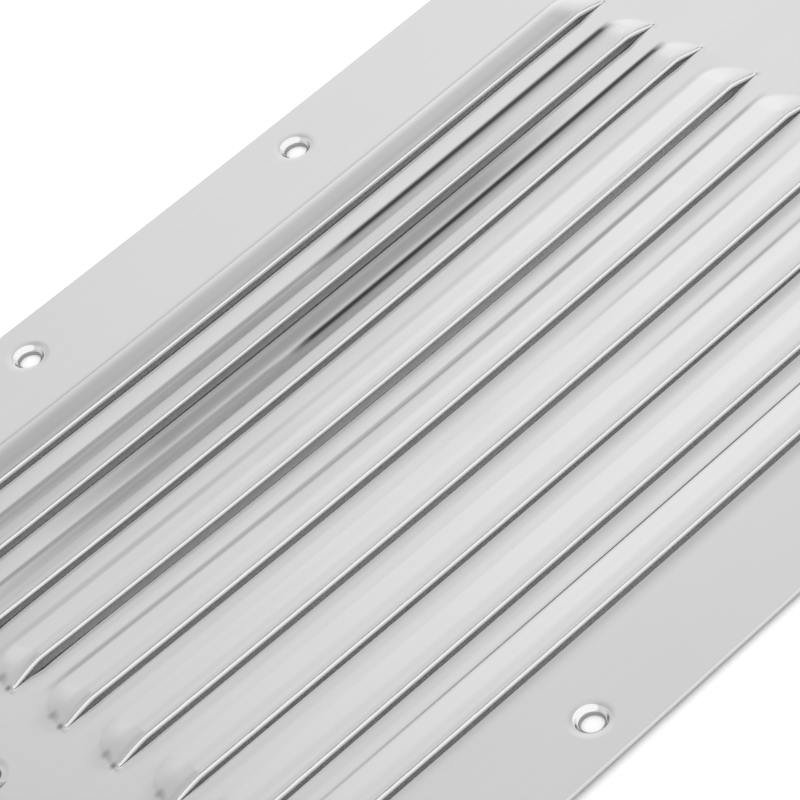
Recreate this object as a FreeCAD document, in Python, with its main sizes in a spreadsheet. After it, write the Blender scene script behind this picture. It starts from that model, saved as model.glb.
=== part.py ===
import FreeCAD, Part
import math
import os

import Sketcher

# Louvred sheet metal panel, pressed from one sheet of stainless steel.
# X runs along the louvres, Y across them and Z out of the face.
# The origin is the middle of the panel, on the plane that its dimples rest on, so the
# flat back face lies one dimple's depth above it. Every louvre opens towards -Y.

os.makedirs("parts", exist_ok=True)
doc = FreeCAD.newDocument("louvred_panel")

# Driving dimensions, in millimetres
SIZES = [
    ("panel_length", 220.0, "outside length, along the louvres"),
    ("panel_width", 152.0, "outside width, across the louvres"),
    ("corner_radius", 6.0, "radius of the four corners in plan"),
    ("sheet_thickness", 0.7, "thickness of the sheet"),
    ("louvre_count", 9, "number of louvres"),
    ("louvre_pitch", 12.7, "distance from one slit to the next"),
    ("end_margin", 24.6, "mean distance of the slit tips from the short edges"),
    ("louvre_width", 8.6, "distance from the slit back to the crease"),
    ("louvre_rise", 2.6, "height of the lip above the face"),
    ("shoulder_rise", 0.25, "part of the rise taken by the bend at the crease"),
    ("shoulder_width", 1.2, "width of the bend at the crease"),
    ("crown_power", 1.5, "how quickly the crown flattens towards the lip"),
    ("end_run", 6.4, "length over which the lip comes down to the tip"),
    ("end_power", 1.3, "how straight the lip comes down to the tip"),
    ("shear_gap", 0.15, "clearance left by the shear between lip and sheet"),
    ("field_shift", 3.9, "how far the louvres sit towards +X from the middle"),
    ("slit_shift", 4.0, "how far the middle slit sits towards -Y from the middle"),
    ("hole_diameter", 3.8, "screw hole"),
    ("hole_margin", 8.0, "distance of the screw holes from the long edges"),
    ("hole_end_margin", 16.0, "distance of the corner holes from the short edges"),
    ("middle_hole_margin", 14.6, "distance of the middle holes from the short edges"),
    ("holes_per_length", 4, "screw holes along each long edge"),
    ("holes_per_width", 3, "screw holes along each short edge, with the corners"),
    ("dimple_diameter", 6.2, "outside of the drawn dimple at each hole"),
    ("dimple_depth", 0.9, "how far each dimple is drawn down"),
    ("dimple_floor", 0.25, "flat ring at the bottom of the dimple"),
]
sheet = doc.addObject("Spreadsheet::Sheet", "Sizes")
for row, (alias, value, note) in enumerate(SIZES, start=1):
    sheet.set(f"A{row}", alias)
    sheet.set(f"B{row}", str(value))
    sheet.set(f"C{row}", note)
    sheet.setAlias(f"B{row}", alias)
doc.recompute()


def size(alias):
    """The value of one driving dimension."""
    return float(sheet.get(alias))


def sketch_on(body, name):
    """An empty sketch on the body's own horizontal plane."""
    level = next(f for f in body.Origin.OriginFeatures if f.Role == "XY_Plane")
    sketch = body.newObject("Sketcher::SketchObject", name)
    sketch.AttachmentSupport = [(level, "")]
    sketch.MapMode = "FlatFace"
    return sketch


def add_rectangle(sketch, bounds):
    """Four lines closed into a rectangle. The bounds are low x, low y, high x, high y,
    and each is an expression that places one side from the origin."""
    start = sketch.GeometryCount
    corners = [FreeCAD.Vector(*c, 0) for c in ((-1, -1), (1, -1), (1, 1), (-1, 1))]
    for here, there in zip(corners, corners[1:] + corners[:1]):
        sketch.addGeometry(Part.LineSegment(here, there), False)
    for side in range(4):
        following = start + (side + 1) % 4
        sketch.addConstraint(Sketcher.Constraint("Coincident", start + side, 2, following, 1))
    for side, kind in enumerate(("Horizontal", "Vertical", "Horizontal", "Vertical")):
        sketch.addConstraint(Sketcher.Constraint(kind, start + side))
    sides = (("DistanceX", 0), ("DistanceY", 0), ("DistanceX", 2), ("DistanceY", 2))
    for (kind, side), expression in zip(sides, bounds):
        rule = sketch.addConstraint(Sketcher.Constraint(kind, -1, 1, start + side, 1, 1.0))
        sketch.setExpression(f"Constraints[{rule}]", expression)


# Plate: the flat blank with rounded corners
plate = doc.addObject("PartDesign::Body", "plate")
plate.setExpression("Placement.Base.z", "Sizes.dimple_depth")
outline = sketch_on(plate, "plate_outline")
add_rectangle(
    outline,
    (
        "-Sizes.panel_length / 2",
        "-Sizes.panel_width / 2",
        "Sizes.panel_length / 2",
        "Sizes.panel_width / 2",
    ),
)
blank = plate.newObject("PartDesign::Pad", "blank")
blank.Profile = outline
blank.setExpression("Length", "Sizes.sheet_thickness")
doc.recompute()

upright = [
    f"Edge{n}"
    for n, edge in enumerate(blank.Shape.Edges, start=1)
    if abs(edge.tangentAt(edge.FirstParameter).z) > 0.99
]
corners = plate.newObject("PartDesign::Fillet", "rounded_corners")
corners.Base = (blank, upright)
corners.setExpression("Radius", "Sizes.corner_radius")
plate.Tip = corners
doc.recompute()

# Windows: the place in the blank that each louvre is pressed from.
# The row of louvres with its flat strips lies near the middle of the width.
FIRST_SLIT = "(Sizes.louvre_count - 1) * Sizes.louvre_pitch / 2 - Sizes.slit_shift"
window = sketch_on(plate, "window_outline")
add_rectangle(
    window,
    (
        "Sizes.field_shift + Sizes.end_margin - Sizes.panel_length / 2",
        FIRST_SLIT,
        "Sizes.field_shift - Sizes.end_margin + Sizes.panel_length / 2",
        FIRST_SLIT + " + Sizes.louvre_width",
    ),
)
first_window = plate.newObject("PartDesign::Pocket", "first_window")
first_window.Profile = window
first_window.Type = "ThroughAll"
first_window.Reversed = True
doc.recompute()

windows = plate.newObject("PartDesign::LinearPattern", "windows")
windows.Originals = [first_window]
windows.Direction = (window, ["V_Axis"])
windows.Reversed = True
windows.setExpression("Length", "(Sizes.louvre_count - 1) * Sizes.louvre_pitch")
windows.setExpression("Occurrences", "Sizes.louvre_count")
plate.Tip = windows
doc.recompute()


# Screw holes: one row along each edge, with a hole in every corner
def spread(count, reach):
    """Evenly spaced places from -reach to +reach."""
    return [-reach + 2 * reach * n / (count - 1) for n in range(count)]


reach_x = size("panel_length") / 2 - size("hole_end_margin")
reach_y = size("panel_width") / 2 - size("hole_margin")
reach_middle = size("panel_length") / 2 - size("middle_hole_margin")
along = spread(int(size("holes_per_length")), reach_x)
across = spread(int(size("holes_per_width")), reach_y)
hole_places = [(x, y) for x in along for y in (-reach_y, reach_y)]
hole_places += [(x, y) for x in (-reach_middle, reach_middle) for y in across[1:-1]]

seats = sketch_on(plate, "dimple_seats")
for x, y in hole_places:
    place = FreeCAD.Vector(x, y, 0)
    ring = seats.addGeometry(Part.Circle(place, FreeCAD.Vector(0, 0, 1), 1.0), False)
    width = seats.addConstraint(Sketcher.Constraint("Diameter", ring, 2.0))
    seats.setExpression(f"Constraints[{width}]", "Sizes.dimple_diameter")
seat_holes = plate.newObject("PartDesign::Pocket", "seat_holes")
seat_holes.Profile = seats
seat_holes.Type = "ThroughAll"
seat_holes.Reversed = True
plate.Tip = seat_holes
doc.recompute()


# Louvres: a tongue of the sheet, pressed up between the crease and the slit.
# Its faces are drawn through this many places across it, closer together near
# the crease, and through these sections of its end.
STATIONS = 12
CROWDING = 1.4
END_SECTIONS = (0.0, 0.15, 0.35, 0.55, 0.75, 0.9, 1.0)


def height(back, end):
    """Rise of the sheet's top face above the flat, in millimetres.

    back is the distance from the slit towards the crease. end is 0 along the full
    section of the louvre and grows to 1 at the tip. The crease follows a quarter
    of an ellipse round the end. The rise is a smooth step at the shoulder plus a crown
    that flattens towards the lip.
    """
    width = size("louvre_width") * math.sqrt(max(0.0, 1.0 - end**2))
    if back >= width:
        return 0.0
    inward = 1.0 - back / width
    step = min(1.0, inward * size("louvre_width") / size("shoulder_width"))
    shoulder = size("shoulder_rise") * step * step * (3.0 - 2.0 * step)
    crown = size("louvre_rise") - size("shoulder_rise")
    crown *= 1.0 - (1.0 - inward) ** size("crown_power")
    return (shoulder + crown) * (1.0 - end ** size("end_power"))


def section(x, end):
    """Closed outline of the sheet across one louvre at x: top curve, lip, underside, back.

    The underside lies one thickness below the top face, square to it.
    """
    thickness = size("sheet_thickness")
    near = size("shear_gap")
    far = size("louvre_width")
    step = 0.02
    top, under = [], []
    for n in range(STATIONS + 1):
        back = far - (far - near) * (n / STATIONS) ** CROWDING
        rise = height(back, end)
        slope = (height(back + step, end) - height(back - step, end)) / (2 * step)
        if n in (0, STATIONS):
            slope = 0.0
        length = math.hypot(1.0, slope)
        top.append(FreeCAD.Vector(x, back, thickness + rise))
        under.append(
            FreeCAD.Vector(
                x, back + thickness * slope / length, thickness + rise - thickness / length
            )
        )
    upper, lower = Part.BSplineCurve(), Part.BSplineCurve()
    upper.interpolate(top)
    lower.interpolate(under[::-1])
    lip = Part.LineSegment(top[-1], under[-1])
    root = Part.LineSegment(under[0], top[0])
    return Part.Wire([upper.toShape(), lip.toShape(), lower.toShape(), root.toShape()])


def tongue():
    """One pressed louvre with its slit on y = 0: a straight run between two shaped ends."""
    half = size("panel_length") / 2 - size("end_margin")
    straight = half - size("end_run")
    run = Part.Face(section(-straight, 0.0)).extrude(FreeCAD.Vector(2 * straight, 0, 0))
    sections = [section(straight + size("end_run") * end, end) for end in END_SECTIONS]
    right = Part.makeLoft(sections, True, False)
    left = right.mirror(FreeCAD.Vector(0, 0, 0), FreeCAD.Vector(1, 0, 0))
    return run.fuse([left, right])


slit_one = (size("louvre_count") - 1) * size("louvre_pitch") / 2 - size("slit_shift")
one_louvre = tongue()
louvres = []
for number in range(int(size("louvre_count"))):
    louvre = doc.addObject("Part::Feature", f"louvre_{number + 1}")
    louvre.Shape = one_louvre
    away = slit_one - number * size("louvre_pitch")
    louvre.Placement.Base = FreeCAD.Vector(size("field_shift"), away, size("dimple_depth"))
    louvres.append(louvre)


# Dimples: a shallow cone drawn down to a flat ring with the hole in it
def dimple():
    """One dimple round the z axis, turned from the section of its wall.

    The flat back face lies on z = 0 and the dimple reaches below it.
    """
    thickness = size("sheet_thickness")
    rim = size("dimple_diameter") / 2
    bore = size("hole_diameter") / 2
    floor = bore + size("dimple_floor")
    drop = size("dimple_depth")
    bend = (rim - floor) / 2
    middle = floor + bend

    def wall(level):
        """Top or bottom line of the wall: two equal arcs that meet halfway down."""
        # Each arc leaves the flat along the sheet and ends at the middle of the slope.
        angle = 2 * math.atan2(drop / 2, bend)
        radius = bend / math.sin(angle)
        half = angle / 2
        high = FreeCAD.Vector(
            rim - radius * math.sin(half), 0, level - radius * (1 - math.cos(half))
        )
        low = FreeCAD.Vector(
            floor + radius * math.sin(half), 0, level - drop + radius * (1 - math.cos(half))
        )
        centre = FreeCAD.Vector(middle, 0, level - drop / 2)
        outer = Part.Arc(FreeCAD.Vector(rim, 0, level), high, centre)
        inner = Part.Arc(centre, low, FreeCAD.Vector(floor, 0, level - drop))
        ring = Part.LineSegment(
            FreeCAD.Vector(floor, 0, level - drop), FreeCAD.Vector(bore, 0, level - drop)
        )
        return [outer.toShape(), inner.toShape(), ring.toShape()]

    edge = Part.LineSegment(
        FreeCAD.Vector(bore, 0, thickness - drop), FreeCAD.Vector(bore, 0, -drop)
    )
    seam = Part.LineSegment(FreeCAD.Vector(rim, 0, 0), FreeCAD.Vector(rim, 0, thickness))
    edges = wall(thickness) + [edge.toShape()] + wall(0.0)[::-1] + [seam.toShape()]
    profile = Part.Wire(edges)
    return Part.Face(profile).revolve(FreeCAD.Vector(0, 0, 0), FreeCAD.Vector(0, 0, 1), 360)


one_dimple = dimple()
dimples = []
for number, (x, y) in enumerate(hole_places, start=1):
    drawn = doc.addObject("Part::Feature", f"dimple_{number}")
    drawn.Shape = one_dimple
    drawn.Placement.Base = FreeCAD.Vector(x, y, size("dimple_depth"))
    dimples.append(drawn)

# The finished panel: plate, louvres and dimples as one sheet
panel = doc.addObject("Part::MultiFuse", "louvred_panel")
panel.Label = "louvred_panel"
panel.Shapes = [plate] + louvres + dimples
panel.Refine = True
doc.recompute()

for thing in doc.Objects:
    if "Invalid" in thing.State or "Error" in thing.State:
        raise SystemExit(f"{thing.Label} failed: {thing.State}")
if panel.Shape.isNull() or not panel.Shape.isValid():
    raise SystemExit("louvred_panel has no valid shape")
if len(panel.Shape.Solids) != 1:
    raise SystemExit(f"louvred_panel is {len(panel.Shape.Solids)} solids, not one")

panel.Shape.Solids[0].exportStep("parts/louvred_panel.step")
box = panel.Shape.BoundBox
print("louvred_panel", round(panel.Shape.Volume, 1), "mm3")
print("from", [round(v, 3) for v in (box.XMin, box.YMin, box.ZMin)])
print("to", [round(v, 3) for v in (box.XMax, box.YMax, box.ZMax)])
print("faces", len(panel.Shape.Faces))
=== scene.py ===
# %% [markdown]
# # A louvred sheet metal panel
#
# This lesson dresses a stamped steel panel: one thin polished sheet with nine long louvres
# pressed out of it and ten screw holes drawn down into little dimples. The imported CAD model
# is loaded first and gives the outside size. The real panel is one piece, so it is made here
# as one closed mesh, which takes the place of the CAD model's plainer one.

# %% Load the frame
import math

import bpy
import numpy as np
from mathutils import Euler, Matrix, Vector


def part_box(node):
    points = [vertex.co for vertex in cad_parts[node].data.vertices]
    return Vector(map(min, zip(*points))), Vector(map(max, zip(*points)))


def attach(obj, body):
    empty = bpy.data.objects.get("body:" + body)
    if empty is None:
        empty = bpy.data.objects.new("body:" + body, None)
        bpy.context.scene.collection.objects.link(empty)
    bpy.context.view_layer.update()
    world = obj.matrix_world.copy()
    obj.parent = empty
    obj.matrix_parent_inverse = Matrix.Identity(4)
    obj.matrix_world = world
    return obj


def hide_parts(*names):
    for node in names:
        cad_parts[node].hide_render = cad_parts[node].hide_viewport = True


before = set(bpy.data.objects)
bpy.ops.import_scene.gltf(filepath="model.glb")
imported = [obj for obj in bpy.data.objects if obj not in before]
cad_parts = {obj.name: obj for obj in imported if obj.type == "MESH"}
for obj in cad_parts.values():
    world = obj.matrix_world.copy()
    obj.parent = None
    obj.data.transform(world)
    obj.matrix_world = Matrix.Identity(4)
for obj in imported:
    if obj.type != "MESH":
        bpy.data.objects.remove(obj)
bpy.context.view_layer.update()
MM = 0.001
_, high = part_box("louvred_panel")
HALF_LENGTH, HALF_WIDTH = high[0] / MM, high[1] / MM
print("panel", round(2 * HALF_LENGTH, 1), "x", round(2 * HALF_WIDTH, 1), "mm")

# %% [markdown]
# ## The sizes of the pressing
#
# A louvre is a tongue of the sheet. A straight slit is cut along its front, and the press
# lifts the metal behind the slit into a hump that ends in a soft crease. All sizes are in
# millimetres, and these are the same as the CAD model's. Y is measured across the louvres,
# which open towards -Y, and X along them.

# %% Sizes of the pressing
THICKNESS = 0.7
DIMPLE_DEPTH = 0.9
FACE = DIMPLE_DEPTH + THICKNESS
CORNER_RADIUS = 6.0
LOUVRES = 9
PITCH = 12.7
LOUVRE_WIDTH = 8.6
STRIP = PITCH - LOUVRE_WIDTH
END_RUN = 6.4
END_MARGIN = 24.6
FIELD_SHIFT = 3.9
SLIT_SHIFT = 4.0
# The frame is kept in single precision, so places worked out from it are rounded.
TIP_LEFT = round(float(FIELD_SHIFT - HALF_LENGTH + END_MARGIN), 3)
TIP_RIGHT = round(float(FIELD_SHIFT + HALF_LENGTH - END_MARGIN), 3)
slit_y = (LOUVRES - 1) * PITCH / 2 - SLIT_SHIFT - PITCH * np.arange(LOUVRES)
print("slits at Y =", slit_y.round(1), "from X =", TIP_LEFT, "to", TIP_RIGHT)

# %% Places of the holes
HOLE_MARGIN = 8.0
HOLE_END_MARGIN = 16.0
MIDDLE_HOLE_MARGIN = 14.6
HOLES_PER_LENGTH = 4
OUTER_HOLE_X = round(float(HALF_LENGTH - HOLE_END_MARGIN), 3)
MIDDLE_HOLE_X = round(float(HALF_LENGTH - MIDDLE_HOLE_MARGIN), 3)
HOLE_X = np.linspace(-OUTER_HOLE_X, OUTER_HOLE_X, HOLES_PER_LENGTH)
HOLE_Y = round(float(HALF_WIDTH - HOLE_MARGIN), 3) * np.array([-1, 0, 1])
hole_places = [(x, y) for x in HOLE_X for y in (HOLE_Y[0], HOLE_Y[2])]
hole_places += [(-MIDDLE_HOLE_X, HOLE_Y[1]), (MIDDLE_HOLE_X, HOLE_Y[1])]
print(len(hole_places), "holes")

# %% [markdown]
# ## No two louvres are alike
#
# Pressed louvres spring back by different amounts. Nine separate louvres could be modelled,
# but each would have to meet its neighbours without a seam. One formula makes them all
# instead, and tables hold what differs. A table lists the nine louvres from the far one to the
# near one, at the left or the right end of the panel, and values between the ends are blended.
# The metal below a slit also springs up a little.

# %% How far each louvre opens
LIP_RISE_LEFT = np.array([2.0, 2.3, 2.25, 2.4, 1.95, 1.85, 1.7, 1.7, 1.8])
LIP_RISE_RIGHT = np.array([2.1, 2.4, 2.4, 2.4, 1.95, 1.85, 1.4, 1.6, 1.8])
EDGE_RISE_LEFT = np.array([0.5, 0.55, 0.5, 0.25, 0.3, 0.28, 0.26, 0.26, 0.3])
EDGE_RISE_RIGHT = np.array([0.4, 0.4, 1.1, 0.25, 0.3, 0.28, 0.26, 0.26, 0.3])
EDGE_REACH = np.array([PITCH, PITCH, PITCH, 2.4, 2.4, 2.4, 2.4, 2.4, 2.4])
EDGE_POWER = np.array([2.0, 2.0, 1.0, 2.0, 2.0, 2.0, 2.0, 2.0, 2.0])
SAG = 0.1
SAG_LIFT = 0.17
BOW = 1.28
END_EASE = 0.35


def share_along(x):
    """0 at the left end of the panel, 1 at the right end, evenly in between."""
    return (x + HALF_LENGTH) / (2 * HALF_LENGTH)


lip_rises = np.stack([LIP_RISE_LEFT, LIP_RISE_RIGHT])
print("lips rise", lip_rises.min(), "to", lip_rises.max(), "mm")

# %% [markdown]
# ## The height of the sheet
#
# The whole top face is one height for every point (x, y). It could be sculpted, but a mirror
# shows every unevenness of a slope. So the section is given by its slope, which is then added
# up to a height, and the reflections stay smooth. Seen across, a louvre starts at the crease
# with a small smooth step and a bend, and goes on as a crown that flattens towards the lip. At
# both ends the lip comes down almost straight to the tip of the slit, and the crease turns
# round the end as a quarter of an ellipse.

# %% Section of a louvre
CROWN_START = np.array([3.8, 5.2, 5.2, 4.8, 4.6, 4.0, 3.8, 3.8, 3.8])
CROWN_TOP = 7.5
DROOP_START = 7.9
DROOP = 0.8
BEND_WIDTH = np.array([0.6, 1.6, 1.6, 0.9, 0.8, 0.4, 0.4, 0.4, 0.6])
CREASE_LEFT = np.array([0.1, 0.0, 0.0, 0.0, 0.05, 0.0, 0.0, 0.02, 0.1])
CREASE_RIGHT = np.array([0.1, 0.3, 0.3, 0.0, 0.08, 0.03, 0.0, 0.04, 0.2])
SLOW_START = np.array([0.9, 0.48, 0.48, 0.6, 0.55, 0.6, 0.7, 0.7, 0.65])
inward_stations = np.linspace(0, LOUVRE_WIDTH, 260)


def louvre_section(lip_rise, crease_step, slow_start, bend_width, crown_start):
    """Heights at inward_stations, from the crease to the lip.

    The slope grows evenly over bend_width and climbs from slow_start to 1 at crown_start. From
    there it falls evenly: it is zero at CROWN_TOP and below zero at the lip. Past
    DROOP_START a second fall, which grows evenly to DROOP, turns the lip down. The running sum
    is scaled so that its top, with the small smooth step at the crease, is lip_rise.
    """
    u = inward_stations
    slope = np.minimum(u / bend_width, 1) * (slow_start + (1 - slow_start) * u / crown_start)
    slope = np.where(u > crown_start, 1 - (u - crown_start) / (CROWN_TOP - crown_start), slope)
    slope = slope - DROOP * np.clip((u - DROOP_START) / (LOUVRE_WIDTH - DROOP_START), 0, 1)
    rise = np.cumsum(slope) - slope / 2
    step = np.clip(u / bend_width, 0, 1)
    return (lip_rise - crease_step) * rise / rise.max() + crease_step * step**2 * (3 - 2 * step)


left_end = zip(LIP_RISE_LEFT, CREASE_LEFT, SLOW_START, BEND_WIDTH, CROWN_START)
right_end = zip(LIP_RISE_RIGHT, CREASE_RIGHT, SLOW_START, BEND_WIDTH, CROWN_START)
sections_left = np.array([louvre_section(*values) for values in left_end])
sections_right = np.array([louvre_section(*values) for values in right_end])
print("sections of", len(sections_left), "louvres at", len(inward_stations), "stations")

# %% Height of a louvre
END_POWER = 1.3


def louvre_height(x, back, number):
    """Rise of louvre `number` where `back` is the distance behind its slit.

    The share of the end, e, is 0 along the full section and 1 at the tip. The louvre's depth
    is LOUVRE_WIDTH times the root of 1 - e squared, and the way inward from the crease is
    measured on that depth. Rise = the section there, blended from the left to the right end
    of the panel, times 1 - e ** END_POWER, and a little less where the sheet has bowed up.
    """
    run_out = np.maximum(TIP_LEFT + END_RUN - x, x - (TIP_RIGHT - END_RUN))
    end = np.clip(run_out / END_RUN, 0, 1)
    width = LOUVRE_WIDTH * np.sqrt(np.maximum(1 - end**2, 1e-9))
    inward = np.clip(1 - back / width, 0, 1)
    station = inward * (len(inward_stations) - 1)
    below = np.minimum(station.astype(int), len(inward_stations) - 2)
    part = station - below
    share = share_along(x)
    section = 0
    for table, weight in ((sections_left, 1 - share), (sections_right, share)):
        section += weight * (table[number, below] * (1 - part) + table[number, below + 1] * part)
    ease = 1 - END_EASE * (x / HALF_LENGTH) ** 2
    return section * ease * (1 - end**END_POWER)


# %% Height of the metal between the louvres
REST_X = HOLE_X[2]
FADE_POWER = 8


def end_fade(x):
    """1 along most of a slit and 0 at its tips: 1 less the FADE_POWER of the way out."""
    middle, half = (TIP_LEFT + TIP_RIGHT) / 2, (TIP_RIGHT - TIP_LEFT) / 2
    return 1 - np.clip(np.abs(x - middle) / half, 0, 1) ** FADE_POWER


def edge_height(x, below, number):
    """Spring of the sheet below slit `number`: full at the slit and gone at EDGE_REACH, as a
    power of what is left of the way, and fading towards the tips."""
    share = share_along(x)
    rise = EDGE_RISE_LEFT[number] * (1 - share) + EDGE_RISE_RIGHT[number] * share
    left_over = np.clip(1 - below / EDGE_REACH[number], 0, 1)
    return rise * end_fade(x) * left_over ** EDGE_POWER[number]


def strip_sag(x, back):
    """Sag of the strip behind a louvre: v is 0 at the slit above and 1 at the crease, and the
    height is SAG_LIFT v squared less SAG v. The small rest fades out over the hump."""
    v = np.clip((PITCH - back) / STRIP, 0, 1)
    strip = SAG_LIFT * v**2 - SAG * v
    hump = (SAG_LIFT - SAG) * back / LOUVRE_WIDTH
    return end_fade(x) * np.where(back > LOUVRE_WIDTH, strip, hump)


def bow_height(x):
    """The sheet bows up slightly towards its short ends, as the square of x. It rests on the
    inner dimples of its long edges, so the height there is zero."""
    return BOW * (x**2 - REST_X**2) / HALF_LENGTH**2


print("bowed up by", round(bow_height(HALF_LENGTH), 2), "mm at the short ends")

# %% [markdown]
# ## A grid with slits in it
#
# Cutting slits into a finished mesh with a boolean leaves long thin triangles, which show as
# kinks in a mirror. Here the slits are part of the grid from the start. The sheet is drawn on
# rows and columns, closer together where the metal bends. Each slit takes two rows at the same
# Y: the edge below it and the lip above it. Between the tips of the slit the two rows are
# separate points, so the sheet is open there. Beyond the tips they share their points.

# %% Columns
# PATCH is half the side of the square that each hole is cut from. Columns are close together
# from LEAD_IN before the left tips to LEFT_RUN past them, and RIGHT_RUN before the right ones.
PATCH = 5.0
LEAD_IN = 3.0
LEFT_RUN = 8.0
RIGHT_RUN = 10.0


def lines(*stretches):
    """Grid lines over stretches of (start, end, number of cells), evenly spaced in each."""
    return np.unique(np.concatenate([np.linspace(a, b, n + 1).round(4) for a, b, n in stretches]))


columns = lines(
    (-HALF_LENGTH, -MIDDLE_HOLE_X - PATCH, 3),
    (-MIDDLE_HOLE_X - PATCH, HOLE_X[0] - PATCH, 2),
    (HOLE_X[0] - PATCH, -MIDDLE_HOLE_X + PATCH, 8),
    (-MIDDLE_HOLE_X + PATCH, HOLE_X[0] + PATCH, 2),
    (HOLE_X[0] + PATCH, TIP_LEFT - LEAD_IN, 2),
    (TIP_LEFT - LEAD_IN, TIP_LEFT, 7),
    (TIP_LEFT, TIP_LEFT + LEFT_RUN, 18),
    (TIP_LEFT + LEFT_RUN, HOLE_X[1] - PATCH, 8),
    (HOLE_X[1] - PATCH, HOLE_X[1] + PATCH, 10),
    (HOLE_X[1] + PATCH, HOLE_X[2] - PATCH, 10),
    (HOLE_X[2] - PATCH, HOLE_X[2] + PATCH, 10),
    (HOLE_X[2] + PATCH, TIP_RIGHT - RIGHT_RUN, 8),
    (TIP_RIGHT - RIGHT_RUN, HOLE_X[3] - PATCH, 18),
    (HOLE_X[3] - PATCH, TIP_RIGHT, 1),
    (TIP_RIGHT, MIDDLE_HOLE_X - PATCH, 2),
    (MIDDLE_HOLE_X - PATCH, HOLE_X[3] + PATCH, 8),
    (HOLE_X[3] + PATCH, MIDDLE_HOLE_X + PATCH, 2),
    (MIDDLE_HOLE_X + PATCH, HALF_LENGTH, 3),
)
print(len(columns), "columns")

# %% Rows
# Behind a slit come the lip, the crown, the foot, the crease, the strip and the next edge.
band = lines((0, 2, 5), (2, 6.4, 5), (6.4, 8, 4), (8, 8.7, 5), (8.7, 10.3, 3), (10.3, PITCH, 5))
below = lines(
    (-HALF_WIDTH, HOLE_Y[0] - PATCH, 1),
    (HOLE_Y[0] - PATCH, HOLE_Y[0] + PATCH, 10),
    (HOLE_Y[0] + PATCH, slit_y[-1] - STRIP, 3),
    (slit_y[-1] - STRIP, slit_y[-1], 8),
)
above = lines(
    (slit_y[0] + PITCH, HOLE_Y[2] - PATCH, 1),
    (HOLE_Y[2] - PATCH, HOLE_Y[2] + PATCH, 10),
    (HOLE_Y[2] + PATCH, HALF_WIDTH, 3),
)
row_y = np.concatenate([below] + [slit + band for slit in slit_y[::-1]] + [above[1:]])
row_louvre = np.concatenate(
    [np.full(len(below), LOUVRES)]
    + [np.full(len(band), k) for k in range(LOUVRES)[::-1]]
    + [np.full(len(above) - 1, 0)]
)
lip_rows = len(below) + len(band) * np.arange(LOUVRES)
COLS, ROWS = len(columns), len(row_y)
print("grid of", ROWS, "rows and", COLS, "columns")

# %% [markdown]
# ## Heights on the grid
#
# A row belongs to the louvre whose slit lies next below it. Its distance from that slit gives
# the hump, and its distance from the slit above gives the spring of the strip.

# %% Round the outer corners
grid_x = np.repeat(columns[None, :], ROWS, axis=0)
grid_y = np.repeat(row_y[:, None], COLS, axis=1)


def round_corners(x, y):
    """Moves the points of each corner's square onto arcs, so that the outer edge is a quarter
    circle: the offset (u, v) is scaled by max(u, v) / hypot(u, v), less so further in."""
    u = np.maximum(np.abs(x) - (HALF_LENGTH - CORNER_RADIUS), 0)
    v = np.maximum(np.abs(y) - (HALF_WIDTH - CORNER_RADIUS), 0)
    reach = np.maximum(u, v)
    scale = reach / np.maximum(np.hypot(u, v), 1e-9)
    share = (reach / CORNER_RADIUS) ** 4
    factor = np.where((u > 0) & (v > 0), 1 + share * (scale - 1), 1)
    return x - np.sign(x) * u * (1 - factor), y - np.sign(y) * v * (1 - factor)


grid_x, grid_y = round_corners(grid_x, grid_y)
print("corners rounded to", CORNER_RADIUS, "mm")

# %% Lift the grid


def sheet_height(x, y, louvre):
    """Height of the top face: the bow, the hump of louvre `louvre` and the spring of the strip
    below the slit that lies next above. Louvre LOUVRES stands for the margin below them all."""
    z = FACE + bow_height(x)
    here = np.minimum(louvre, LOUVRES - 1)
    back = y - slit_y[here]
    z = z + np.where(louvre < LOUVRES, louvre_height(x, back, here), 0)
    z = z + np.where((louvre > 0) & (louvre < LOUVRES), strip_sag(x, back), 0)
    next_up = louvre - 1
    spring = edge_height(x, slit_y[next_up] - y, next_up)
    return z + np.where(louvre > 0, spring, 0)


grid_louvre = np.repeat(row_louvre[:, None], COLS, axis=1)
grid_z = sheet_height(grid_x, grid_y, grid_louvre)
print("top face from", grid_z.min().round(2), "to", grid_z.max().round(2), "mm")

# %% [markdown]
# ## Slits that wander
#
# The real slits don't run dead straight, so the points are moved a little along Y. A lattice
# round the finished mesh would do that too, but it would also bend the holes and the long
# edges. These tables hold each louvre's shift at the left, in the middle and at the right.

# %% Move the slits
SHIFT_LEFT = np.array([-0.1, 0.35, 1.1, 1.48, 1.0, 0.65, 0.5, 0.1, 0.4])
SHIFT_MIDDLE = np.array([-0.33, -0.05, 0.1, 0.0, -0.15, -0.33, -0.25, -0.1, -0.35])
SHIFT_RIGHT = np.array([0.35, 0.7, 1.5, 1.15, 0.65, 0.05, -0.25, -0.6, -0.4])
SHIFT_X = 85.0
SHIFT_LIMIT = 1.1


def sideways(x, y):
    """Shift along Y. Each louvre has its shift at -SHIFT_X, 0 and SHIFT_X, with a parabola
    between them that stops changing at SHIFT_LIMIT times SHIFT_X. Between two slits the shift is
    blended evenly, and it is zero along the long edges."""
    still = slit_y[0] + PITCH
    knots = np.concatenate([[-HALF_WIDTH, HOLE_Y[0] + PATCH], slit_y[::-1], [still, HALF_WIDTH]])
    left, middle, right = (
        np.interp(y, knots, np.concatenate([[0, 0], table[::-1], [0, 0]]))
        for table in (SHIFT_LEFT, SHIFT_MIDDLE, SHIFT_RIGHT)
    )
    t = np.clip(x / SHIFT_X, -SHIFT_LIMIT, SHIFT_LIMIT)
    return middle + (right - left) / 2 * t + ((right + left) / 2 - middle) * t**2


plain_y = grid_y.copy()
grid_y = grid_y + sideways(grid_x, grid_y)
print("points moved along Y by up to", np.abs(grid_y - plain_y).max().round(2), "mm")

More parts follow.
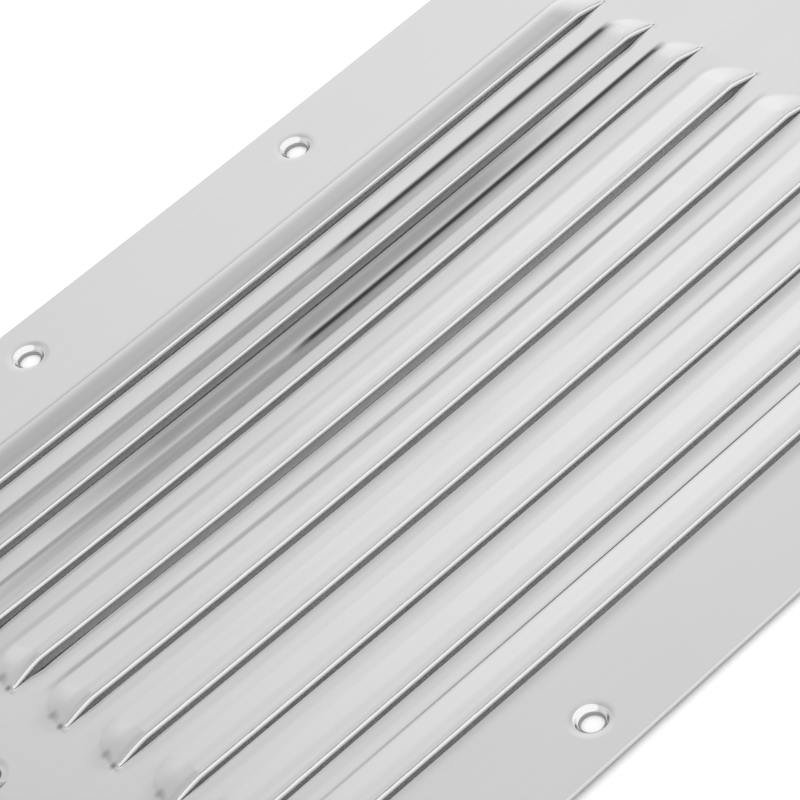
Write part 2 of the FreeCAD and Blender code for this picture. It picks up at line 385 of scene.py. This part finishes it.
# %% Join the rows beyond the tips
TINY = 1e-6
ids = np.arange(ROWS * COLS).reshape(ROWS, COLS)
whole = (columns <= TIP_LEFT + TINY) | (columns >= TIP_RIGHT - TINY)
ids[lip_rows] = np.where(whole, ids[lip_rows - 1], ids[lip_rows])
print("slits open over", (~whole).sum(), "columns")

# %% [markdown]
# ## Dimples on the grid
#
# A round dimple doesn't fit a square grid. A square of cells is taken out round each hole and
# filled with rings: the outline of the square is drawn in, point by point, to a circle, and
# further circles step down the wall of the dimple to the edge of the hole.

# %% Shape of a dimple
HOLE_RADIUS = 1.9
DIMPLE_RADIUS = 3.0
DIMPLE_FLOOR = HOLE_RADIUS + 0.12
FIRST_RING = 4.1
ring_radii = np.concatenate(
    [[FIRST_RING], np.linspace(DIMPLE_RADIUS, DIMPLE_FLOOR, 8), [HOLE_RADIUS]]
)


def dimple_height(radius):
    """Drop of a dimple: half a cosine wave from the rim down to the flat ring round the hole."""
    share = np.clip((DIMPLE_RADIUS - radius) / (DIMPLE_RADIUS - DIMPLE_FLOOR), 0, 1)
    return -DIMPLE_DEPTH * (1 - np.cos(np.pi * share)) / 2


def outline_of(r0, r1, c0, c1):
    """Ids round a block of cells, counterclockwise, with the side each one starts on."""
    sides = (ids[r0, c0:c1], ids[r0:r1, c1], ids[r1, c1:c0:-1], ids[r1:r0:-1, c0])
    loop = np.concatenate(sides)
    side = np.repeat(np.arange(4), [len(s) for s in sides])
    keep = loop != np.roll(loop, 1)
    return loop[keep], side[keep]


print(len(ring_radii), "rings down each dimple")

# %% One hole's rings
points = np.stack([grid_x, grid_y, grid_z], axis=-1).reshape(-1, 3)
cells = np.ones((ROWS - 1, COLS - 1), bool)
cells[lip_rows - 1] = False


def fill_with_rings(hole_x, hole_y, first_id):
    """Takes the square round a hole out of `cells` and returns the points and quads that fill it.

    The corners of the square keep their own angles as seen from the hole, and the points along
    each side share the angle between two corners evenly. Every ring has one point at each of
    these angles. A ring's height is that of the bowed sheet plus the drop of the dimple.
    """
    c0, c1 = (np.abs(columns - hole_x - side).argmin() for side in (-PATCH, PATCH))
    r0, r1 = (np.abs(row_y - hole_y - side).argmin() for side in (-PATCH, PATCH))
    cells[r0:r1, c0:c1] = False
    loop, side = outline_of(r0, r1, c0, c1)
    offset = points[loop, :2] - (hole_x, hole_y)
    seen_at = np.unwrap(np.arctan2(offset[:, 1], offset[:, 0]))
    starts = np.flatnonzero(np.append(True, side[1:] != side[:-1]))
    knots = np.append(starts, len(loop))
    corner_angle = np.append(seen_at[starts], seen_at[0] + 2 * np.pi)
    angle = np.interp(np.arange(len(loop)), knots, corner_angle)
    x = hole_x + ring_radii[:, None] * np.cos(angle)
    y = hole_y + ring_radii[:, None] * np.sin(angle)
    z = FACE + bow_height(x) + dimple_height(ring_radii)[:, None]
    rings = np.vstack([loop, first_id + np.arange(x.size).reshape(x.shape)])
    inner, outer = rings[1:], rings[:-1]
    after = np.roll(np.arange(len(loop)), -1)
    quads = np.stack([outer, outer[:, after], inner[:, after], inner], axis=-1)
    return np.stack([x, y, z], axis=-1).reshape(-1, 3), quads.reshape(-1, 4)


# %% Fill the holes' squares
ring_points, ring_faces = [], []
count = len(points)
for hole_x, hole_y in hole_places:
    new_points, new_faces = fill_with_rings(hole_x, hole_y, count)
    ring_points.append(new_points)
    ring_faces.append(new_faces)
    count += len(new_points)
row, col = np.nonzero(cells)
grid_faces = np.stack(
    [ids[row, col], ids[row, col + 1], ids[row + 1, col + 1], ids[row + 1, col]], axis=-1
)
points = np.concatenate([points] + ring_points)
faces = np.concatenate([grid_faces] + ring_faces)
print("top face:", len(faces), "quads")

# %% [markdown]
# ## From a face to a sheet
#
# The underside is the same face, moved one thickness along its own normals and turned over.
# What is left open are the edges: the outline, the slits and the holes. Solidify and Bevel
# modifiers would close and round them, but alike everywhere, and here a lip is rounder than
# the rest. So every edge that only one quad uses gets a strip of narrow faces from the top
# round to the underside. Its corners are rounded, because a sheared and polished edge catches
# the light as a thin line.

# %% Normals and open edges


def unit(v):
    """Each vector divided by its length, or left at zero where it has none."""
    return v / np.maximum(np.linalg.norm(v, axis=-1, keepdims=True), 1e-12)


used, faces = np.unique(faces, return_inverse=True)
faces = faces.reshape(-1, 4)
points = points[used]
a, b, c, d = (points[faces[:, n]] for n in range(4))
face_normal = np.cross(c - a, d - b)
normal = np.zeros_like(points)
for n in range(4):
    np.add.at(normal, faces[:, n], face_normal)
normal = unit(normal)

pairs = np.concatenate([faces[:, [n, (n + 1) % 4]] for n in range(4)])
owner = np.tile(np.arange(len(faces)), 4)
key = np.sort(pairs, axis=1) @ [len(points), 1]
_, first, uses = np.unique(key, return_index=True, return_counts=True)
rim = pairs[first[uses == 1]]
rim_owner = owner[first[uses == 1]]
print("open edges:", len(rim))

# %% Which way each rim faces
direction = unit(points[rim[:, 1]] - points[rim[:, 0]])
outward_of_edge = unit(np.cross(direction, unit(face_normal[rim_owner])))
outward = np.zeros_like(points)
for n in range(2):
    np.add.at(outward, rim[:, n], outward_of_edge)
outward = unit(outward)
rim_vertices = np.unique(rim)
place = np.full(len(points), -1)
place[rim_vertices] = np.arange(len(rim_vertices))
at_rim, out_rim, normal_rim = (v[rim_vertices] for v in (points, outward, normal))
in_field = (at_rim[:, 0] > TIP_LEFT) & (at_rim[:, 0] < TIP_RIGHT)
in_field &= (at_rim[:, 1] > slit_y[-1] - STRIP) & (at_rim[:, 1] < slit_y[0] + STRIP)
# The rim of a lip faces -Y, and the rim below its slit faces +Y.
is_lip = (out_rim[:, 1] < -0.3) & in_field
print("rim points:", len(rim_vertices), "of them on lips:", is_lip.sum())

# %% Close the sheet
LIP_RADIUS = 0.42
PLAIN_RADIUS = 0.12
BURR_RADIUS = 0.06
FLAT_RIM = 0.05
ROUNDING = np.radians([0, 30, 60, 90])
radius = np.where(is_lip, LIP_RADIUS, PLAIN_RADIUS)[:, None]
strip_rows = [
    at_rim + out_rim * radius * (np.sin(turn) - 1) - normal_rim * radius * (1 - np.cos(turn))
    for turn in ROUNDING
]
for depth in (THICKNESS - 1.3 * BURR_RADIUS, THICKNESS - BURR_RADIUS):
    strip_rows.append(at_rim - normal_rim * depth)
strip_rows.append(at_rim - out_rim * BURR_RADIUS - normal_rim * THICKNESS)
inset = np.zeros_like(points)
inset[rim_vertices] = out_rim * (-radius - FLAT_RIM)
top = points + inset
bottom = points + inset - normal * THICKNESS
vertex_count = len(points)
row_start = 2 * vertex_count + np.arange(len(strip_rows)) * len(rim_vertices)
strip_ids = np.vstack(
    [rim.T[None]] + [start + place[rim.T][None] for start in row_start] + [vertex_count + rim.T[None]]
)
upper, lower = strip_ids[:-1], strip_ids[1:]
strip_faces = np.stack([upper[:, 1], upper[:, 0], lower[:, 0], lower[:, 1]], axis=-1).reshape(-1, 4)
all_points = np.concatenate([top, bottom] + strip_rows)
all_faces = np.concatenate([faces, vertex_count + faces[:, ::-1], strip_faces])
print("closed sheet:", 2 * len(all_faces), "triangles")

# %% [markdown]
# ## Painted shade and dull places
#
# The three far louvres are painted darker than the rest: black painted shade in the creases of
# the second and third, a darker valley between those two, and greyer humps. Most other louvres
# have a grey line of painted shade at the crease, and each left tip has a few dark marks, painted
# shade where the metal has wrinkled. An image could hold all this, but it would have to be
# unwrapped onto the sheet. One number on every point needs no unwrapping, and the material
# reads it.

# %% Painted shade and dull places
WHOLE = (-79, 87, 6)
# Painted shade in the creases, greyer humps on the three far louvres and a darker valley.
# Louvre, distance behind its slit, half width, (from x, to x, fade at both ends), strength.
SHADE_AND_DULL_PLACES = [
    (0, 3.6, 3.4, WHOLE, 0.36),
    (0, 8.4, 0.3, WHOLE, 0.25),
    (1, 7.3, 0.95, (14, 86, 3), 0.96),
    (1, 7.7, 0.6, (-79, 16, 6), 0.42),
    (1, 4.2, 3.0, WHOLE, 0.22),
    (1, 6.2, 1.4, WHOLE, 0.28),
    (2, 7.3, 0.88, (-6, 87, 3), 0.96),
    (2, 7.7, 0.6, (-79, -4, 6), 0.42),
    (2, 4.2, 3.0, WHOLE, 0.22),
    (2, 6.2, 1.4, (-71, 87, 26), 0.35),
    (2, 10.2, 1.7, (-59, 69, 28), 0.5),
    (3, 8.3, 0.8, WHOLE, 0.12),
    (3, 8.3, 0.7, (-79, -10, 40), 0.2),
    (4, 8.4, 0.45, WHOLE, 0.36),
    (4, 8.4, 0.5, (10, 87, 30), 0.25),
    (5, 8.3, 0.4, (20, 87, 30), 0.35),
    (6, 8.3, 0.4, (20, 87, 30), 0.45),
    (8, 8.2, 0.45, WHOLE, 0.2),
]
# Painted shade where the metal is wrinkled at the left tips. Right and up from the left tip of
# every slit, half sizes across and up, strength.
TIP_PAINTED_SHADE = [(-0.2, 0.9, 0.6, 0.5, 0.55), (0.6, 3.5, 0.9, 0.7, 0.35), (0.8, 3.2, 3.2, 3.0, 0.1)]


def shade_and_dullness(x, y, louvre):
    """How much painted shade and dullness darken the sheet, from 0 to 1. Each place is flat in
    the middle and falls off as exp(-(distance / half width) ** 4), and the places add up like
    layers of grey glass. The painted shade at the left tips is round and falls off in the same
    way."""
    clear = np.ones_like(x)
    for number, middle, half_width, (start, end, fade), strength in SHADE_AND_DULL_PLACES:
        offset = (y - slit_y[number] - middle) / half_width
        along = np.clip((x - start) / fade, 0, 1) * np.clip((end - x) / fade, 0, 1)
        clear *= 1 - strength * along * np.exp(-(offset**4)) * (louvre == number)
    back = y - slit_y[np.minimum(louvre, LOUVRES - 1)]
    for right, up, half_x, half_y, strength in TIP_PAINTED_SHADE:
        away = ((x - TIP_LEFT - right) / half_x) ** 2 + ((back - up) / half_y) ** 2
        clear *= 1 - strength * np.exp(-(away**2)) * (louvre < LOUVRES)
    return 1 - clear


grid_shade_and_dull = shade_and_dullness(grid_x, plain_y, grid_louvre).ravel()
point_shade_and_dull = np.zeros(len(used))
on_grid = used < len(grid_shade_and_dull)
point_shade_and_dull[on_grid] = grid_shade_and_dull[used[on_grid]]
print("dull points:", (point_shade_and_dull > 0.05).sum())

# %% [markdown]
# ## Sheared edges
#
# Where the press has sheared the sheet, the cut is matt and darker than the polished face. A
# second material on the strip would start with a hard line, so this too is a number on the
# points. It has one value for each row of the strip, from the top to the underside. The rows
# at the slits have it in full and those of the outer edge a small share. The rim of a hole is
# matt throughout.

# %% Matt cuts
CUT_TONE = [0.0, 0.1, 0.5, 1.0, 0.3, 0.3, 0.6]
OUTLINE_SHARE = 0.2
HOLE_TONE = 1.0
OUTLINE_REACH = 2.0
on_outline = np.abs(at_rim[:, 0]) > HALF_LENGTH - OUTLINE_REACH
on_outline |= np.abs(at_rim[:, 1]) > HALF_WIDTH - OUTLINE_REACH
cut_tone = np.outer(CUT_TONE, np.where(in_field, 1, OUTLINE_SHARE))
cut_tone = np.where(in_field | on_outline, cut_tone, HOLE_TONE)
print("rows in the strip:", len(cut_tone))

# %% [markdown]
# ## The mesh
#
# Adding vertices one by one in Python is slow, so the arrays go into the mesh whole. Every face
# is shaded smooth, because the narrow strips already round the edges off. Three numbers on each
# point tell the material where the metal is sheared, where it is the underside and how much
# painted shade and dullness darken it.

# %% Build the mesh


def mesh_from(name, corners, quads):
    """A smooth object at the origin from points in millimetres and quads."""
    mesh = bpy.data.meshes.new(name)
    mesh.vertices.add(len(corners))
    mesh.loops.add(quads.size)
    mesh.polygons.add(len(quads))
    mesh.vertices.foreach_set("co", (corners * MM).astype(np.float32).ravel())
    mesh.loops.foreach_set("vertex_index", quads.astype(np.int32).ravel())
    mesh.polygons.foreach_set("loop_start", np.arange(0, quads.size, 4, dtype=np.int32))
    mesh.polygons.foreach_set("loop_total", np.full(len(quads), 4, dtype=np.int32))
    mesh.update(calc_edges=True)
    mesh.validate()
    mesh.shade_smooth()
    made = bpy.data.objects.new(name, mesh)
    bpy.context.scene.collection.objects.link(made)
    return made


panel = mesh_from("polished_panel", all_points, all_faces)
sheared = np.zeros(len(all_points), np.float32)
sheared[2 * vertex_count :] = cut_tone.ravel()
back_face = np.zeros(len(all_points), np.float32)
back_face[vertex_count : 2 * vertex_count] = 1
painted_shade_and_dull = np.zeros(len(all_points), np.float32)
painted_shade_and_dull[:vertex_count] = point_shade_and_dull
for name, values in (("sheared", sheared), ("back_face", back_face), ("painted_shade_and_dull", painted_shade_and_dull)):
    attribute = panel.data.attributes.new(name, "FLOAT", "POINT")
    attribute.data.foreach_set("value", values)
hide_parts("louvred_panel")
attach(panel, "root")
print(panel.name, len(panel.data.polygons), "faces")

# %% [markdown]
# ## Polished steel
#
# The sheet is bright steel with a satin polish, and mirrors softly what is near it. Perfect
# steel would look like foil, so two noises break it up. One is stretched into faint streaks
# along the louvres, as polishing leaves them. The other makes clouds that are a little rougher,
# as handling does. Bump would shake the long reflections, so there is none.

# %% Helpers for node trees


def add_node(tree, kind, sockets=(), **settings):
    """A new node of `kind`, with its settings. `sockets` gives a number, a colour or another
    node's output for inputs by name or by place, and an output is linked."""
    node = tree.nodes.new("ShaderNode" + kind)
    for setting, value in settings.items():
        setattr(node, setting, value)
    for socket, value in dict(sockets).items():
        if isinstance(value, bpy.types.NodeSocket):
            tree.links.new(value, node.inputs[socket])
        else:
            node.inputs[socket].default_value = value
    return node


def calculate(tree, operation, first, second):
    """Output of a Math node on two numbers or outputs."""
    return add_node(tree, "Math", {0: first, 1: second}, operation=operation).outputs["Value"]


# %% Polished steel
STEEL = (0.82, 0.82, 0.825)
STREAK_SCALE = (12, 900, 12)
CUT_ROUGHNESS = 0.35
# The last loss is the painted shade and dullness that the points hold.
LOSSES = (("back_face", 0.5), ("sheared", 0.5), ("painted_shade_and_dull", 1.0))


def noise(tree, vector, scale, detail):
    """Grey of a noise pattern at `vector`."""
    sockets = {"Vector": vector, "Scale": scale, "Detail": detail}
    return add_node(tree, "TexNoise", sockets).outputs["Fac"]


def spread(tree, grey, low, high):
    """Noise stays mostly between 0.3 and 0.7, and this stretches that to low and high."""
    sockets = {"Value": grey, "From Min": 0.3, "From Max": 0.7, "To Min": low, "To Max": high}
    return add_node(tree, "MapRange", sockets).outputs["Result"]


def point_value(tree, name):
    """What the mesh's points hold under `name`."""
    return add_node(tree, "Attribute", attribute_name=name).outputs["Fac"]


def polished_steel():
    """Metal whose roughness follows the clouds and whose shade follows the streaks. Each kind of
    LOSSES then takes its share off the shade: shade times 1 - loss times the point's value."""
    material = bpy.data.materials.new("polished_steel")
    material.use_nodes = True
    tree = material.node_tree
    shader = tree.nodes["Principled BSDF"]
    shader.inputs["Metallic"].default_value = 1.0
    place = add_node(tree, "TexCoord").outputs["Object"]
    rough = spread(tree, noise(tree, place, 45.0, 4.0), 0.1, 0.17)
    cut = {"Factor": point_value(tree, "sheared"), "A": rough, "B": CUT_ROUGHNESS}
    tree.links.new(add_node(tree, "Mix", cut).outputs["Result"], shader.inputs["Roughness"])

    stretch = add_node(tree, "Mapping", {"Vector": place, "Scale": STREAK_SCALE})
    shade = spread(tree, noise(tree, stretch.outputs["Vector"], 1.0, 3.0), 0.99, 1.005)
    for name, loss in LOSSES:
        sockets = {"Value": point_value(tree, name), "To Min": 1.0, "To Max": 1.0 - loss}
        kept = add_node(tree, "MapRange", sockets).outputs["Result"]
        shade = calculate(tree, "MULTIPLY", shade, kept)
    colour = add_node(tree, "VectorMath", {0: STEEL, "Scale": shade}, operation="SCALE")
    tree.links.new(colour.outputs["Vector"], shader.inputs["Base Color"])
    return material


panel.data.materials.append(polished_steel())
print("material", panel.data.materials[0].name)

# %% [markdown]
# ## Floor and light
#
# The panel lies on a white floor in a pale room. A polished sheet shows the room, so the room
# is what shapes its greys. Lamps would make hard bright spots on it, so there are none, and the
# light comes from the world. The room is bright near the horizon, darker overhead, uneven from
# side to side, and brightest on the wall that the lips face. The camera sees plain white.

# %% Floor
FLOOR_SIZE = 4.0
SHADOW_REACH = 0.005
SHADOW_POWER = 1.2
OPEN_GLOW = 0.25
SLIT_GLOW = 0.07


def white_floor():
    """A pale matt floor. Openness is the free share of the view up from a point, as far as
    SHADOW_REACH, to the power SHADOW_POWER. The camera sees OPEN_GLOW times openness on top of
    the floor's own white, so that it reads as white. The metal sees SLIT_GLOW times what is
    missing from openness, which lights the insides of the slits a little."""
    material = bpy.data.materials.new("white_floor")
    material.use_nodes = True
    tree = material.node_tree
    shader = tree.nodes["Principled BSDF"]
    shader.inputs["Base Color"].default_value = (0.95, 0.95, 0.95, 1)
    shader.inputs["Roughness"].default_value = 0.9
    shader.inputs["Specular IOR Level"].default_value = 0.0
    shader.inputs["Emission Color"].default_value = (1, 1, 1, 1)
    seen = add_node(tree, "LightPath")
    sky = add_node(tree, "AmbientOcclusion", {"Distance": SHADOW_REACH})
    openness = calculate(tree, "POWER", sky.outputs["AO"], SHADOW_POWER)
    lit = calculate(tree, "MULTIPLY", openness, OPEN_GLOW)
    inside = calculate(tree, "MULTIPLY", calculate(tree, "SUBTRACT", 1.0, openness), SLIT_GLOW)
    for_camera = calculate(tree, "MULTIPLY", lit, seen.outputs["Is Camera Ray"])
    for_metal = calculate(tree, "MULTIPLY", inside, seen.outputs["Is Glossy Ray"])
    glow = calculate(tree, "ADD", for_camera, for_metal)
    tree.links.new(glow, shader.inputs["Emission Strength"])
    return material


floor_mesh = bpy.data.meshes.new("floor")
half = FLOOR_SIZE / 2
floor_mesh.from_pydata(
    [(-half, -half, 0), (half, -half, 0), (half, half, 0), (-half, half, 0)], [], [(0, 1, 2, 3)]
)
floor = bpy.data.objects.new("floor", floor_mesh)
floor_mesh.materials.append(white_floor())
bpy.context.scene.collection.objects.link(floor)
print("floor", FLOOR_SIZE, "m square")

# %% The room
# Each pair is how far up, or how far to +X, a direction points, and how bright it is there.
ROOM = [
    (0.0, 0.98), (0.36, 0.98), (0.45, 0.9), (0.55, 0.84), (0.66, 0.84), (0.705, 0.81), (0.735, 0.715),
    (0.88, 0.69), (1.0, 0.72),
]
SIDES = [
    (0.0, 0.82), (0.22, 0.84), (0.316, 0.79), (0.37, 0.9), (0.43, 0.975), (0.56, 1.05), (0.64, 1.06),
    (0.78, 0.9), (1.0, 0.8),
]
FRONT_WALL = 1.12
WALL_BLEND = 0.12


def ramp(tree, source, pairs):
    """Grey read off `pairs` of (value, grey), evenly blended between them."""
    node = add_node(tree, "ValToRGB", {"Fac": source})
    stops = node.color_ramp.elements
    while len(stops) < len(pairs):
        stops.new(0.5)
    for stop, (at, grey) in zip(stops, pairs):
        stop.position = at
        stop.color = (grey, grey, grey, 1)
    return node.outputs["Color"]


def blend(tree, factor, first, grey):
    """`first` where the factor is 0 and plain grey where it is 1."""
    sockets = {"Factor": factor, "A": first, "B": (grey, grey, grey, 1)}
    return add_node(tree, "Mix", sockets, data_type="RGBA").outputs["Result"]


def white_room():
    """A world that is plain white, except in reflections. There its brightness is ROOM, read
    at the height of a direction, times SIDES, read at how far the direction heads to +X.
    The side in front of the panel, towards -Y, is bright throughout."""
    world = bpy.data.worlds.new("white_room")
    world.use_nodes = True
    tree = world.node_tree
    ray = add_node(tree, "TexCoord").outputs["Generated"]
    part = add_node(tree, "SeparateXYZ", {"Vector": ray})
    level = add_node(tree, "VectorMath", {0: ray, 1: (1, 1, 0)}, operation="MULTIPLY")
    heading = add_node(tree, "VectorMath", {0: level.outputs["Vector"]}, operation="NORMALIZE")
    towards = add_node(tree, "SeparateXYZ", {"Vector": heading.outputs["Vector"]})
    up = ramp(tree, part.outputs["Z"], ROOM)
    across = ramp(tree, towards.outputs["X"], SIDES)
    sided = add_node(tree, "VectorMath", {0: up, 1: across}, operation="MULTIPLY")
    limits = {"Value": part.outputs["Y"], "From Min": WALL_BLEND, "From Max": -WALL_BLEND}
    front = add_node(tree, "MapRange", limits).outputs["Result"]
    mirrored = blend(tree, front, sided.outputs["Vector"], FRONT_WALL)
    glossy = add_node(tree, "LightPath").outputs["Is Glossy Ray"]
    room = blend(tree, calculate(tree, "SUBTRACT", 1.0, glossy), mirrored, 1.0)
    tree.links.new(room, tree.nodes["Background"].inputs["Color"])
    return world


bpy.context.scene.world = white_room()
bpy.context.scene.view_settings.view_transform = "Standard"
print("world", bpy.context.scene.world.name)

# %% [markdown]
# ## The camera
#
# A long lens looks down on the panel from its front left, rolled so that the louvres run from
# the lower left to the upper right. Only the middle of the panel fits in the picture. A camera
# can be placed by eye, but this one was fitted to where slits, edges and holes lie in the
# photograph, so it is given by angles, a distance and a focal length in pixels.

# %% Camera
AIM = Vector((-1.67, 5.41, 1.6)) * MM
DISTANCE = 616.0 * MM
AZIMUTH, ELEVATION, ROLL = -31.41, 42.78, -17.27
SENSOR = 36.0
FOCAL_PIXELS = 3800
PICTURE_PIXELS = 800

camera_data = bpy.data.cameras.new("camera")
camera_data.lens = SENSOR * FOCAL_PIXELS / PICTURE_PIXELS
camera_data.sensor_width = SENSOR
camera = bpy.data.objects.new("camera", camera_data)
bpy.context.scene.collection.objects.link(camera)
turn = Euler((math.radians(90 - ELEVATION), 0, math.radians(AZIMUTH)), "XYZ").to_matrix()
turn = turn @ Matrix.Rotation(math.radians(ROLL), 3, "Z")
camera.matrix_world = Matrix.Translation(AIM + turn @ Vector((0, 0, DISTANCE))) @ turn.to_4x4()
bpy.context.scene.camera = camera
print("camera at", [round(v, 4) for v in camera.matrix_world.translation])
